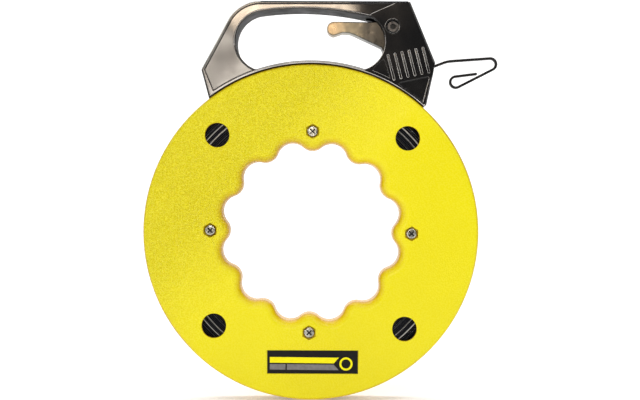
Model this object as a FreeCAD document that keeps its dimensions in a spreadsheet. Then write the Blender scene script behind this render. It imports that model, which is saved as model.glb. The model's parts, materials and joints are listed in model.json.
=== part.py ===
# Draw-tape reel: a round two-part case that turns inside the rim shoes of a carrying handle.
# Millimetres. X to the right, Y to the rear, Z up. The origin is the reel's centre on the mid-plane,
# so the reel axis is Y and the handle stands on top.
import FreeCAD
import Part
import math
import os
import re
import Sketcher
from FreeCAD import Placement, Rotation, Vector

doc = FreeCAD.newDocument("draw_tape_reel")
UP = Vector(0, 0, 1)
REEL_AXIS = Vector(0, 1, 0)

# ---------------------------------------------------------------- driving dimensions
dimensions = [
    # how far a cut runs past the solid, and how deep a raised detail is rooted in it
    ("overcut", 1), ("root_depth", 0.5),
    # the case
    ("reel_angle", 1.0), ("case_radius", 150), ("case_half", 16), ("case_wall", 3),
    ("rim_edge_radius", 3), ("slot_half", 3), ("cavity_inner_radius", 88),
    ("bump_tip_radius", 73.3), ("lobe_tip_radius", 82.2), ("bump_radius", 12.5),
    ("lobe_count", 12), ("hole_edge_radius", 8),
    ("window_circle", 120.4), ("window_radius", 10.9), ("window_start", 45),
    ("case_screw_circle", 90), ("case_screw_count", 4), ("boss_radius", 9), ("case_screw_radius", 2.5),
    ("case_screw_clearance", 0.25), ("case_screw_shortfall", 1.2),
    ("screw_head_radius", 5), ("screw_head_height", 3),
    ("screw_pocket_flats", 11.4), ("screw_pocket_depth", 3.5), ("cross_width", 1.3),
    ("cross_length", 6), ("cross_depth", 1.8), ("head_edge_radius", 1.8),
    ("nut_flats", 8), ("nut_height", 4), ("nut_pocket_flats", 8.3), ("nut_pocket_depth", 4.6),
    # the label
    ("label_length", 80.8), ("label_width", 20.5), ("label_centre_x", 3.6), ("label_centre_z", -116),
    ("label_thickness", 0.4), ("label_recess", 0.3), ("label_gap", 0.2), ("label_tilt", 0.8),
    # the wound tape
    ("coil_inner_radius", 104), ("coil_outer_radius", 137), ("coil_front", -12.2), ("coil_rear", -9),
    ("anchor_length", 14), ("anchor_height", 4.6), ("anchor_width", 3.6), ("anchor_gap", 0.2),
    # the handle's front outline
    ("handle_half", 15), ("saddle_radius", 150.4), ("saddle_left", 127.3), ("saddle_right", 47.9),
    ("tail_corner_x", -98), ("tail_corner_z", 145.4), ("shoulder_x", -65), ("shoulder_z", 207),
    ("head_corner_x", 88.7), ("head_corner_z", 206.5), ("nose_top_x", 111.3), ("nose_top_z", 151.5),
    ("nose_low_x", 109.6), ("nose_low_z", 142), ("toe_x", 103.4), ("toe_z", 113.7),
    ("shoulder_radius", 33.5), ("small_corner_radius", 2.5), ("handle_edge_radius", 1.6),
    # the hand opening
    ("opening_base_radius", 153.5), ("opening_left_x", -49), ("opening_right_x", 48.5),
    ("opening_left_end_x", -67.2), ("opening_left_end_z", 172.5),
    ("opening_top_left_x", -46), ("opening_top_left_z", 197.4),
    ("opening_top_x", -8), ("opening_top_z", 200),
    ("opening_top_right_x", 56), ("opening_top_right_z", 191.8),
    ("opening_corner_radius", 5), ("opening_right_end_x", 66.6), ("opening_right_end_z", 172),
    # the housing's hollow for the lever
    ("hollow_half", 7.4),
    # the lever
    ("pivot_x", 73.4), ("pivot_z", 183.6), ("squeeze_angle", 9.5), ("lever_half", 7),
    ("hub_radius", 9.5), ("bulb_x", 20.8), ("bulb_z", 183.2), ("bulb_radius", 6.2),
    ("fork_half", 2.4), ("fork_top", 152), ("fork_left", 55), ("fork_right", 95), ("fork_foot", 120),
    ("pad_angle", 62.5), ("pad_half_length", 9.2), ("pad_gap", 0.3), ("pad_height", 4.4),
    ("pad_inner", 3), ("pad_outer", 6.5), ("spring_relief_radius", 10.5), ("spring_relief_start", 3),
    # the pivot
    ("bolt_radius", 3), ("bolt_clearance", 0.05), ("bolt_head_radius", 5), ("bolt_head_height", 5),
    ("bolt_edge_radius", 0.5), ("bolt_socket_flats", 5), ("bolt_socket_depth", 2.6), ("counterbore_radius", 5.75),
    ("counterbore_floor", 10.4), ("pivot_ring_radius", 7.2), ("pivot_ring_height", 0.8),
    ("bush_radius", 4.9), ("bush_half", 7.3), ("bush_clearance", 0.05),
    ("pivot_nut_flats", 10.3), ("pivot_nut_grip", 10), ("pivot_nut_height", 4.6),
    ("spring_wire_radius", 0.6), ("spring_radius", 6.2), ("spring_pitch", 1.3), ("spring_turns", 2),
    ("spring_start", 3.8),
    # the handle's grip ribs
    ("rib_count", 6), ("rib_length", 24.5), ("rib_width", 2.3), ("rib_height", 1), ("rib_pitch", 6.37),
    ("rib_first_x", 71.6), ("rib_first_z", 147.1), ("rib_lean", 14), ("rib_row_angle", 11.6),
    # the handle screws
    ("handle_screw_radius", 1.75), ("handle_screw_clearance", 0.15), ("handle_screw_depth", 10),
    ("handle_head_radius", 3.4), ("handle_head_height", 2.4), ("handle_head_recess", 5),
    ("handle_head_gap", 0.3), ("handle_slot_length", 4.08),
    # the rim shoes
    ("shoe_foot_inner", 143.5), ("shoe_foot_outer", 146.6), ("shoe_foot_half", 8),
    ("shoe_web_half", 2.6), ("shoe_key_inner", 151.2), ("shoe_key_outer", 152.3), ("shoe_key_half", 4.2),
    ("left_shoe_end", 124.5), ("left_shoe_span", 54), ("right_shoe_end", 53.3), ("right_shoe_span", 4.6),
    # the tape's leader and hook
    ("tape_thickness", 2.2), ("tape_width", 3.2), ("leader_angle", 20.5), ("leader_offset", 101.2),
    ("leader_start", 5), ("leader_bend", 170), ("bend_radius", 25), ("bend_turn", 16.5),
    ("hook_top_length", 34.9), ("hook_tip_radius", 5.3), ("hook_tip_turn", 157),
    ("hook_run_length", 35.1), ("hook_eye_radius", 5.04), ("hook_eye_turn", 199.9),
    ("hook_end_length", 18.9),
    # the nose guide
    ("guide_start", 141), ("guide_length", 12.5), ("guide_height", 7), ("guide_half", 4.5),
    ("channel_height", 2.6), ("channel_half", 2.1), ("channel_start", 120), ("channel_length", 42),
]
sheet = doc.addObject("Spreadsheet::Sheet", "dimensions")
for row, (alias, number) in enumerate(dimensions, start=1):
    sheet.set(f"A{row}", alias)
    sheet.set(f"B{row}", str(number))
    sheet.setAlias(f"B{row}", alias)
doc.recompute()


def size(alias):
    """The number in a cell."""
    return sheet.get(alias)


def cells(formula):
    """The formula with each cell name made a full reference to the sheet."""
    names = {alias for alias, number in dimensions}
    return re.sub(r"[a-z_]+", lambda w: "dimensions." + w[0] if w[0] in names else w[0], formula)


def polar(radius, degrees):
    """The point at this radius and angle in the front view, the angle counted from +X towards +Z."""
    a = math.radians(degrees)
    return Vector(radius * math.cos(a), radius * math.sin(a), 0)


def turned(point, centre, degrees):
    """A point of the front view turned about a centre, clockwise as seen from the front."""
    return centre + Rotation(UP, -degrees).multVec(point - centre)


# ---------------------------------------------------------------- sketch and feature helpers
def new_body(label):
    body = doc.addObject("PartDesign::Body", label)
    body.Label = label
    return body


def origin_plane(body, role):
    return next(f for f in body.Origin.OriginFeatures if f.Role == role)


def new_sketch(body, name, depth="0", role="XZ_Plane"):
    """A sketch on an origin plane; depth moves it along the plane's normal, which is -Y for XZ."""
    sketch = body.newObject("Sketcher::SketchObject", name)
    sketch.AttachmentSupport = [(origin_plane(body, role), "")]
    sketch.MapMode = "FlatFace"
    sketch.setExpression("AttachmentOffset.Base.z", cells(depth))
    return sketch


def circle(sketch, x, z, radius):
    """A circle whose centre and radius are formulas of cells."""
    g = sketch.addGeometry(Part.Circle(Vector(1, 1, 0), UP, 1))
    for kind, formula in (("DistanceX", x), ("DistanceY", z)):
        index = sketch.addConstraint(Sketcher.Constraint(kind, -1, 1, g, 3, 1.0))
        sketch.setExpression(f"Constraints[{index}]", cells(formula))
    index = sketch.addConstraint(Sketcher.Constraint("Radius", g, 1.0))
    sketch.setExpression(f"Constraints[{index}]", cells(radius))
    return g


def chain(sketch, curves):
    """A closed outline of ready curves, joined end to start and fixed where they are."""
    ids = [sketch.addGeometry(c) for c in curves]
    for g in ids:
        sketch.addConstraint(Sketcher.Constraint("Block", g))
    return ids


def polygon(sketch, points):
    """A closed straight-sided outline."""
    ends = points[1:] + points[:1]
    return chain(sketch, [Part.LineSegment(a, b) for a, b in zip(points, ends)])


def hexagon(sketch, centre, flats, start=90):
    """A regular hexagon with a point towards the start angle."""
    corner = size(flats) / 2 / math.cos(math.radians(30))
    return polygon(sketch, [centre + polar(corner, start + 60 * k) for k in range(6)])


def pad(body, name, sketch, length, midplane=False, reverse=False):
    feature = body.newObject("PartDesign::Pad", name)
    feature.Profile = sketch
    feature.setExpression("Length", cells(length))
    feature.Midplane = midplane
    feature.Reversed = reverse
    return feature


def pocket(body, name, sketch, length, into_front=True, midplane=False):
    """A pocket that must remove material; into_front cuts from the sketch towards -Y."""
    doc.recompute()
    before = body.Shape.Volume
    feature = body.newObject("PartDesign::Pocket", name)
    feature.Profile = sketch
    feature.setExpression("Length", cells(length))
    feature.Midplane = midplane
    feature.Reversed = into_front
    doc.recompute()
    if body.Shape.Volume >= before:
        raise RuntimeError(f"{body.Label}: pocket {name} cuts nothing")
    return feature


def fillet(body, name, radius, chosen):
    """Rounds the edges that the test chooses."""
    doc.recompute()
    base = body.Tip
    names = [f"Edge{k}" for k, edge in enumerate(base.Shape.Edges, 1) if chosen(edge)]
    if not names:
        raise RuntimeError(f"{body.Label}: fillet {name} finds no edge")
    feature = body.newObject("PartDesign::Fillet", name)
    feature.Base = (base, names)
    feature.setExpression("Radius", cells(radius))
    doc.recompute()
    if feature.Shape.isNull() or "Invalid" in feature.State:
        raise RuntimeError(f"{body.Label}: fillet {name} fails")
    return feature


def at_depth(edge, depth):
    return all(abs(v.Y - depth) < 1e-4 for v in edge.Vertexes) and abs(edge.CenterOfMass.y - depth) < 1e-3


def is_circle(edge):
    """Whether the edge closes on itself."""
    return len(edge.Vertexes) == 1


def ring_pattern(body, count):
    """Repeats the whole body evenly about the reel axis."""
    feature = body.newObject("PartDesign::PolarPattern", "around_the_reel")
    feature.TransformMode = "Whole shape"
    feature.Axis = (next(f for f in body.Origin.OriginFeatures if f.Role == "Y_Axis"), [""])
    feature.setExpression("Occurrences", cells(count))
    feature.Angle = 360
    body.Tip = feature
    doc.recompute()
    return feature


def on_the_reel(item, turn=0):
    """Places a piece on the reel, which stands slightly turned; a half turn about Z faces it rearward."""
    spin = Rotation(REEL_AXIS, size("reel_angle")) * Rotation(UP, turn)
    item.Placement = Placement(Vector(0, 0, 0), spin)
    return item


nodes = []


# ---------------------------------------------------------------- the case
def scalloped_outline():
    """Inward bumps and outward lobes in turn, each arc tangent to the next, whatever the bump's radius."""
    step = 360 / size("lobe_count")
    bump, tip = size("bump_radius"), size("lobe_tip_radius")
    reach = size("bump_tip_radius") + bump
    closeness = math.cos(math.radians(step / 2))
    lobe = reach ** 2 + tip ** 2 - 2 * reach * tip * closeness - bump ** 2
    lobe /= 2 * (bump + tip - reach * closeness)
    bump_centre, lobe_centre = polar(reach, 0), polar(tip - lobe, step / 2)
    joint = bump_centre + (lobe_centre - bump_centre) * (bump / (bump + lobe))
    before = Vector(joint.x, -joint.y, 0)
    after = Rotation(UP, step).multVec(before)
    curves = []
    for k in range(int(size("lobe_count"))):
        spin = Rotation(UP, k * step)
        stops = [before, polar(size("bump_tip_radius"), 0), joint, polar(tip, step / 2), after]
        stops = [spin.multVec(p) for p in stops]
        curves += [Part.Arc(*stops[:3]), Part.Arc(*stops[2:])]
    return curves


def ring_place(k):
    """The centre of case screw k, as formulas of cells."""
    angle = f"{k} * 360 deg / case_screw_count"
    return f"case_screw_circle * cos({angle})", f"case_screw_circle * sin({angle})"


def case_half(label, pocket_flats, pocket_depth, turn):
    """One half of the case: a ring with a scalloped bore, hollow for the tape, open at the rim slot."""
    body = new_body(label)
    disc = new_sketch(body, "disc")
    circle(disc, "0", "0", "case_radius")
    chain(disc, scalloped_outline())
    pad(body, "ring", disc, "case_half")
    doc.recompute()
    front = -size("case_half")

    fillet(body, "soft_shoulder", "hole_edge_radius", lambda e: at_depth(e, front) and not is_circle(e))
    fillet(body, "soft_rim", "rim_edge_radius", lambda e: at_depth(e, front) and is_circle(e))
    hollow = new_sketch(body, "hollow")
    circle(hollow, "0", "0", "cavity_inner_radius")
    circle(hollow, "0", "0", "case_radius - case_wall")
    pocket(body, "tape_hollow", hollow, "case_half - case_wall")
    slot = new_sketch(body, "slot")
    circle(slot, "0", "0", "case_radius - case_wall - overcut")
    circle(slot, "0", "0", "case_radius + overcut")
    pocket(body, "rim_slot", slot, "slot_half")
    boss = new_sketch(body, "boss")
    for k in range(int(size("case_screw_count"))):
        spot, rise = ring_place(k)
        circle(boss, spot, rise, "boss_radius")
    pad(body, "screw_bosses", boss, "case_half - case_wall / 2")
    holes = new_sketch(body, "holes")
    windows = new_sketch(body, "windows")
    heads = new_sketch(body, "heads", "case_half")
    for k in range(int(size("case_screw_count"))):
        spot, rise = ring_place(k)
        circle(holes, spot, rise, "case_screw_radius + case_screw_clearance")
        spot = f"window_circle * cos(window_start * 1 deg + {k} * 90 deg)"
        rise = f"window_circle * sin(window_start * 1 deg + {k} * 90 deg)"
        circle(windows, spot, rise, "window_radius")
        hexagon(heads, polar(size("case_screw_circle"), 90 * k), pocket_flats)
    pocket(body, "screw_holes", holes, "case_half + overcut")
    pocket(body, "windows_cut", windows, "case_half + overcut")
    pocket(body, "head_pockets", heads, pocket_depth, into_front=False)
    on_the_reel(body, turn)
    return body


def front_case():
    body = case_half("front_case", "screw_pocket_flats", "screw_pocket_depth", 0)
    seat = new_sketch(body, "label_seat", "case_half")
    polygon(seat, label_corners(size("label_gap")))
    pocket(body, "label_recess", seat, "label_recess", into_front=False)
    return body


def rear_case():
    return case_half("rear_case", "nut_pocket_flats", "nut_pocket_depth", 180)


def label_corners(margin):
    """The label's four corners in the front view, tilted against the reel's own turn."""
    across, up = size("label_length") / 2 + margin, size("label_width") / 2 + margin
    tilt = Rotation(UP, size("label_tilt"))
    centre = Vector(size("label_centre_x"), size("label_centre_z"), 0)
    corners = ((-across, -up), (across, -up), (across, up), (-across, up))
    return [centre + tilt.multVec(Vector(x, y, 0)) for x, y in corners]


def label_plate():
    """The printed plate in its shallow recess on the front face."""
    body = new_body("label_plate")
    plate = new_sketch(body, "plate", "case_half - label_recess")
    polygon(plate, label_corners(0))
    pad(body, "sheet", plate, "label_thickness")
    return on_the_reel(body)


def case_screws():
    """Four cross-recess pan-head screws whose heads sit in the front pockets."""
    body = new_body("case_screws")
    head = new_sketch(body, "head", "case_half - screw_pocket_depth")
    circle(head, "0", "case_screw_circle", "screw_head_radius")
    pad(body, "pan_head", head, "screw_head_height")
    top = -(size("case_half") - size("screw_pocket_depth") + size("screw_head_height"))
    fillet(body, "domed_edge", "head_edge_radius", lambda e: at_depth(e, top))
    shank = new_sketch(body, "shank", "case_half - screw_pocket_depth")
    circle(shank, "0", "case_screw_circle", "case_screw_radius")
    pad(body, "thread", shank, "2 * case_half - screw_pocket_depth - case_screw_shortfall", reverse=True)
    depth = "case_half - screw_pocket_depth + screw_head_height"
    for k, name in enumerate(("first_slot", "second_slot")):
        cut = new_sketch(body, name + "_outline", depth)
        arm, half = size("cross_length") / 2, size("cross_width") / 2
        lean = Rotation(UP, 45 + 90 * k)
        centre = polar(size("case_screw_circle"), 90)
        corners = ((-arm, -half), (arm, -half), (arm, half), (-arm, half))
        polygon(cut, [centre + lean.multVec(Vector(x, y, 0)) for x, y in corners])
        pocket(body, name, cut, "cross_depth", into_front=False)
    ring_pattern(body, "case_screw_count")
    return on_the_reel(body)


def case_nuts():
    """The four nuts in the rear half's hexagon pockets."""
    body = new_body("case_nuts")
    block = new_sketch(body, "block", "nut_pocket_depth - case_half")
    for k in range(int(size("case_screw_count"))):
        spot, rise = ring_place(k)
        hexagon(block, polar(size("case_screw_circle"), 90 * k), "nut_flats")
        circle(block, spot, rise, "case_screw_radius")
    pad(body, "nuts", block, "nut_height", reverse=True)
    return on_the_reel(body)


# ---------------------------------------------------------------- the wound tape
def tape_coil():
    """The outer shape of the wound tape, which lies in the front half of the case."""
    body = new_body("tape_coil")
    ring = new_sketch(body, "ring", "0 - coil_rear")
    circle(ring, "0", "0", "coil_outer_radius")
    circle(ring, "0", "0", "coil_inner_radius")
    pad(body, "winding", ring, "coil_rear - coil_front")
    return on_the_reel(body)


def tape_anchor():
    """The steel clip that holds the tape's inner end against the inner wall."""
    body = new_body("tape_anchor")
    clip = new_sketch(body, "clip", "0 - coil_rear")
    low = size("case_screw_circle") + size("boss_radius")
    high = low + size("anchor_height") - size("anchor_gap")
    half = size("anchor_length") / 2
    polygon(clip, [Vector(x, y, 0) for x, y in ((low, -half), (high, -half), (high, half), (low, half))])
    pad(body, "folded_steel", clip, "anchor_width")
    return on_the_reel(body)


# ---------------------------------------------------------------- the handle
def leader_line():
    """The tape's straight way out in the front view: its foot nearest the centre, and its direction."""
    angle = size("leader_angle")
    return polar(size("leader_offset"), angle + 90), polar(1, angle)


def along_leader(start, length, height):
    """A rectangle round the tape's way out, from start for a length."""
    foot, way = leader_line()
    side = polar(height / 2, size("leader_angle") + 90)
    a, b = foot + way * start, foot + way * (start + length)
    return [a - side, b - side, b + side, a + side]


def sector(inner, outer, end, span):
    """Part of a ring in the front view, from the end angle back through the span."""
    start = end - span
    middle = (start + end) / 2
    return [
        Part.Arc(polar(inner, start), polar(inner, middle), polar(inner, end)),
        Part.LineSegment(polar(inner, end), polar(outer, end)),
        Part.Arc(polar(outer, end), polar(outer, middle), polar(outer, start)),
        Part.LineSegment(polar(outer, start), polar(inner, start)),
    ]


def corner(name):
    """A named corner of the handle's outline."""
    return Vector(size(name + "_x"), size(name + "_z"), 0)


def handle_outline():
    left = polar(size("saddle_radius"), size("saddle_left"))
    right = polar(size("saddle_radius"), size("saddle_right"))
    middle = polar(size("saddle_radius"), (size("saddle_left") + size("saddle_right")) / 2)
    names = ("toe", "nose_low", "nose_top", "head_corner", "shoulder", "tail_corner")
    points = [right] + [corner(n) for n in names] + [left]
    straight = [Part.LineSegment(a, b) for a, b in zip(points[:-1], points[1:])]
    return straight + [Part.Arc(left, middle, right)]


def hand_opening():
    """The finger hole under the grip bar, four arcs in a row."""
    base = size("opening_base_radius")
    left = Vector(size("opening_left_x"), math.sqrt(base ** 2 - size("opening_left_x") ** 2), 0)
    right = Vector(size("opening_right_x"), math.sqrt(base ** 2 - size("opening_right_x") ** 2), 0)
    top_left, top_right = corner("opening_top_left"), corner("opening_top_right")
    return [
        Part.Arc(left, corner("opening_left_end"), top_left),
        Part.Arc(top_left, corner("opening_top"), top_right),
        Part.Arc(top_right, corner("opening_right_end"), right),
        Part.Arc(right, polar(base, 90), left),
    ]


HOLLOW = [(50, 194.5), (85, 194.5), (90, 170), (91, 138), (88, 118), (59.5, 130), (59.5, 157), (50, 165)]
SCREW_SPOTS = [(-75, 172), (-82, 135.5), (99.5, 163), (97, 125)]


def handle_half(label):
    """One moulded half of the handle, hollow in its head for the lever and keyed for the rim shoes."""
    body = new_body(label)
    outline = new_sketch(body, "outline")
    chain(outline, handle_outline())
    pad(body, "moulding", outline, "handle_half")

    def upright(name):
        spot = corner(name)
        return lambda e: all(abs(v.X - spot.x) < 1e-3 and abs(v.Z - spot.y) < 1e-3 for v in e.Vertexes)

    fillet(body, "round_shoulder", "shoulder_radius", upright("shoulder"))
    for name in ("head_corner", "nose_top", "tail_corner"):
        fillet(body, "round_" + name, "small_corner_radius", upright(name))
    front = -size("handle_half")

    def off_the_saddle(edge):
        middle = edge.CenterOfMass
        return at_depth(edge, front) and math.hypot(middle.x, middle.z) > size("opening_base_radius")

    fillet(body, "soft_outer_edge", "handle_edge_radius", off_the_saddle)
    window = new_sketch(body, "window")
    chain(window, hand_opening())
    pocket(body, "finger_hole", window, "handle_half + overcut")
    joints = [curve.StartPoint for curve in hand_opening()]

    def opening_corner(edge):
        ends = [Vector(v.X, v.Z, 0) for v in edge.Vertexes]
        upright_edge = (ends[0] - ends[-1]).Length < 1e-3
        return upright_edge and any((ends[0] - joint).Length < 1e-3 for joint in joints)

    fillet(body, "round_opening", "opening_corner_radius", opening_corner)
    hollow = new_sketch(body, "hollow")
    polygon(hollow, [Vector(x, z, 0) for x, z in HOLLOW])
    pocket(body, "lever_hollow", hollow, "hollow_half")
    keys = (("left_shoe_end", "left_shoe_span"), ("right_shoe_end", "right_shoe_span"))
    for k, (end, span) in enumerate(keys):
        web = new_sketch(body, f"web_{k}")
        inner = size("saddle_radius") - size("overcut")
        chain(web, sector(inner, size("shoe_key_outer"), size(end), size(span)))
        pocket(body, f"web_slot_{k}", web, "shoe_web_half")
        key = new_sketch(body, f"key_{k}")
        chain(key, sector(size("shoe_key_inner"), size("shoe_key_outer"), size(end), size(span)))
        pocket(body, f"key_slot_{k}", key, "shoe_key_half")
    seat = new_sketch(body, "guide_outline")
    polygon(seat, along_leader(size("guide_start"), size("guide_length"), size("guide_height")))
    pocket(body, "guide_seat", seat, "guide_half")
    channel = new_sketch(body, "channel_outline")
    polygon(channel, along_leader(size("channel_start"), size("channel_length"), size("channel_height")))
    pocket(body, "tape_channel", channel, "channel_half")
    ring = new_sketch(body, "ring_outline", "handle_half - root_depth")
    circle(ring, "pivot_x", "pivot_z", "pivot_ring_radius")
    pad(body, "pivot_ring", ring, "pivot_ring_height + root_depth")
    bore = new_sketch(body, "bore_outline")
    circle(bore, "pivot_x", "pivot_z", "bolt_radius + bolt_clearance")
    pocket(body, "pivot_bore", bore, "handle_half + pivot_ring_height + overcut")
    return body


def rib_outline(k):
    """One grip rib: a strip with round ends, leaning to the right at its foot."""
    row = polar(size("rib_pitch") * k, size("rib_row_angle"))
    centre = Vector(size("rib_first_x"), size("rib_first_z"), 0) + row
    along = polar(1, 90 + size("rib_lean"))
    side = polar(size("rib_width") / 2, size("rib_lean"))
    reach = along * (size("rib_length") / 2 - size("rib_width") / 2)
    cap = along * (size("rib_width") / 2)
    top, foot = centre + reach, centre - reach
    return [
        Part.LineSegment(foot + side, top + side),
        Part.Arc(top + side, top + cap, top - side),
        Part.LineSegment(top - side, foot - side),
        Part.Arc(foot - side, foot - cap, foot + side),
    ]


def handle_front():
    """The front half carries the grip ribs, the bolt head's counterbore and the screw pilots."""
    body = handle_half("handle_front")
    ribs = new_sketch(body, "rib_outlines", "handle_half - root_depth")
    for k in range(int(size("rib_count"))):
        chain(ribs, rib_outline(k))
    pad(body, "grip_ribs", ribs, "rib_height + root_depth")
    well = new_sketch(body, "well_outline", "counterbore_floor")
    circle(well, "pivot_x", "pivot_z", "counterbore_radius")
    pocket(body, "bolt_well", well, "handle_half")
    pilots = new_sketch(body, "pilot_outlines")
    for x, z in SCREW_SPOTS:
        circle(pilots, str(x), str(z), "handle_screw_radius")
    pocket(body, "pilots", pilots, "handle_screw_depth")
    return body


def handle_rear():
    """The rear half takes the screws and the pivot nut from behind; it is drawn as a mirror image."""
    body = handle_half("rear_blank")
    nut = new_sketch(body, "nut_outline", "handle_half + pivot_ring_height - pivot_nut_height")
    hexagon(nut, corner("pivot"), "pivot_nut_flats")
    pocket(body, "nut_well", nut, "handle_half")
    holes = new_sketch(body, "hole_outlines")
    heads = new_sketch(body, "head_outlines", "handle_half - handle_head_recess")
    for x, z in SCREW_SPOTS:
        circle(holes, str(x), str(z), "handle_screw_radius + handle_screw_clearance")
        circle(heads, str(x), str(z), "handle_head_radius + handle_head_gap")
    pocket(body, "screw_holes", holes, "handle_half + overcut")
    pocket(body, "head_wells", heads, "handle_half")
    mirror = doc.addObject("Part::Mirroring", "handle_rear")
    mirror.Label = "handle_rear"
    mirror.Source = body
    mirror.Normal = REEL_AXIS
    return mirror


def handle_screws():
    """Four screws that draw the handle's halves together from behind."""
    body = new_body("handle_screws")
    shanks = new_sketch(body, "shanks", "handle_screw_depth - root_depth")
    heads = new_sketch(body, "heads", "handle_head_recess - handle_half")
    for x, z in SCREW_SPOTS:
        circle(shanks, str(x), str(z), "handle_screw_radius")
        circle(heads, str(x), str(z), "handle_head_radius")
    reach = "handle_screw_depth - root_depth + handle_half - handle_head_recess"
    pad(body, "threads", shanks, reach, reverse=True)
    pad(body, "pan_heads", heads, "handle_head_height", reverse=True)
    rear = size("handle_half") - size("handle_head_recess") + size("handle_head_height")
    fillet(body, "domed_edges", "handle_head_height / 2", lambda e: at_depth(e, rear))
    cross = new_sketch(body, "crosses", "0 - handle_half + handle_head_recess - handle_head_height")
    arm, half = size("handle_slot_length") / 2, size("cross_width") / 2
    for x, z in SCREW_SPOTS:
        corners = ((-arm, -half), (arm, -half), (arm, half), (-arm, half))
        polygon(cross, [Vector(x + a, z + b, 0) for a, b in corners])
    pocket(body, "slots", cross, "handle_head_height / 2")
    return body


# ---------------------------------------------------------------- the lever's pivot
def lever_pivot_bolt():
    """The socket-head bolt that the lever turns on, its head sunk in the front half."""
    body = new_body("lever_pivot_bolt")
    head = new_sketch(body, "head", "counterbore_floor")
    circle(head, "pivot_x", "pivot_z", "bolt_head_radius")
    pad(body, "socket_head", head, "bolt_head_height")
    top = -(size("counterbore_floor") + size("bolt_head_height"))
    fillet(body, "soft_top", "bolt_edge_radius", lambda e: at_depth(e, top))
    socket = new_sketch(body, "socket", "counterbore_floor + bolt_head_height")
    hexagon(socket, corner("pivot"), "bolt_socket_flats")
    pocket(body, "hexagon_socket", socket, "bolt_socket_depth", into_front=False)
    shank = new_sketch(body, "shank", "counterbore_floor")
    circle(shank, "pivot_x", "pivot_z", "bolt_radius")
    pad(body, "thread", shank, "counterbore_floor + handle_half", reverse=True)
    return body


def lever_pivot_nut():
    """The nut on the bolt, held in the rear half's hexagon well."""
    body = new_body("lever_pivot_nut")
    block = new_sketch(body, "block", "pivot_nut_height - handle_half - pivot_ring_height")
    hexagon(block, corner("pivot"), "pivot_nut_grip")
    circle(block, "pivot_x", "pivot_z", "bolt_radius")
    pad(body, "nut", block, "pivot_nut_height", reverse=True)
    return body


def lever_bush():
    """The sleeve on the bolt that sets the gap between the halves and carries the lever."""
    body = new_body("lever_bush")
    ring = new_sketch(body, "ring")
    circle(ring, "pivot_x", "pivot_z", "bush_radius")
    circle(ring, "pivot_x", "pivot_z", "bolt_radius + bush_clearance")
    pad(body, "sleeve", ring, "2 * bush_half", midplane=True)
    return body


def lever_spring():
    """The torsion spring round the bush that returns the lever."""
    radius, wire = size("spring_radius"), size("spring_wire_radius")
    pitch = size("spring_pitch")
    helix = Part.makeHelix(pitch, pitch * size("spring_turns"), radius)
    ring = Part.Wire(Part.makeCircle(wire, Vector(radius, 0, 0), REEL_AXIS))
    coil = Part.Wire(helix).makePipeShell([ring], True, True)
    spring = doc.addObject("Part::Feature", "lever_spring")
    spring.Label = "lever_spring"
    spring.Shape = coil
    spot = Vector(size("pivot_x"), size("spring_start"), size("pivot_z"))
    spring.Placement = Placement(spot, Rotation(Vector(1, 0, 0), -90))
    return spring


# ---------------------------------------------------------------- the rim shoes
def rim_shoe(label, end, span):
    """A sliding shoe of I section: foot inside the rim, web in the slot, key clamped by the handle."""
    body = new_body(label)
    profile = new_sketch(body, "profile", role="XY_Plane")
    foot, web, key = size("shoe_foot_half"), size("shoe_web_half"), size("shoe_key_half")
    half = [
        (size("shoe_foot_inner"), foot), (size("shoe_foot_outer"), foot), (size("shoe_foot_outer"), web),
        (size("shoe_key_inner"), web), (size("shoe_key_inner"), key), (size("shoe_key_outer"), key),
    ]
    rear = [Vector(r, y, 0) for r, y in half]
    front = [Vector(r, -y, 0) for r, y in reversed(half)]
    polygon(profile, rear + front)
    sweep = body.newObject("PartDesign::Revolution", "round_the_rim")
    sweep.Profile = profile
    sweep.ReferenceAxis = (profile, ["V_Axis"])
    sweep.setExpression("Angle", cells(span))
    doc.recompute()
    body.Placement = Placement(Vector(0, 0, 0), Rotation(REEL_AXIS, -size(end)))
    return body


def rim_shoe_left():
    return rim_shoe("rim_shoe_left", "left_shoe_end", "left_shoe_span")


def rim_shoe_right():
    return rim_shoe("rim_shoe_right", "right_shoe_end", "right_shoe_span")


def tape_guide():
    """The hard sleeve in the nose that the tape runs through."""
    body = new_body("tape_guide")
    block = new_sketch(body, "block")
    polygon(block, along_leader(size("guide_start"), size("guide_length"), size("guide_height")))
    pad(body, "sleeve", block, "2 * guide_half", midplane=True)
    way = new_sketch(body, "way")
    start, past = size("guide_start") - size("overcut"), size("guide_length") + 2 * size("overcut")
    polygon(way, along_leader(start, past, size("channel_height")))
    pocket(body, "tape_way", way, "2 * channel_half", midplane=True)
    return body


# ---------------------------------------------------------------- the lever
def pad_corners(height):
    """The two ends of a line above the brake pad's rubbing face, in the squeezed pose."""
    middle = polar(size("case_radius") + size("pad_gap") + height, size("pad_angle"))
    along = polar(size("pad_half_length"), size("pad_angle") + 90)
    return middle + along, middle - along


def released(point):
    """A point of the squeezed lever moved back to the rest pose."""
    return turned(point, corner("pivot"), -size("squeeze_angle"))


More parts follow.
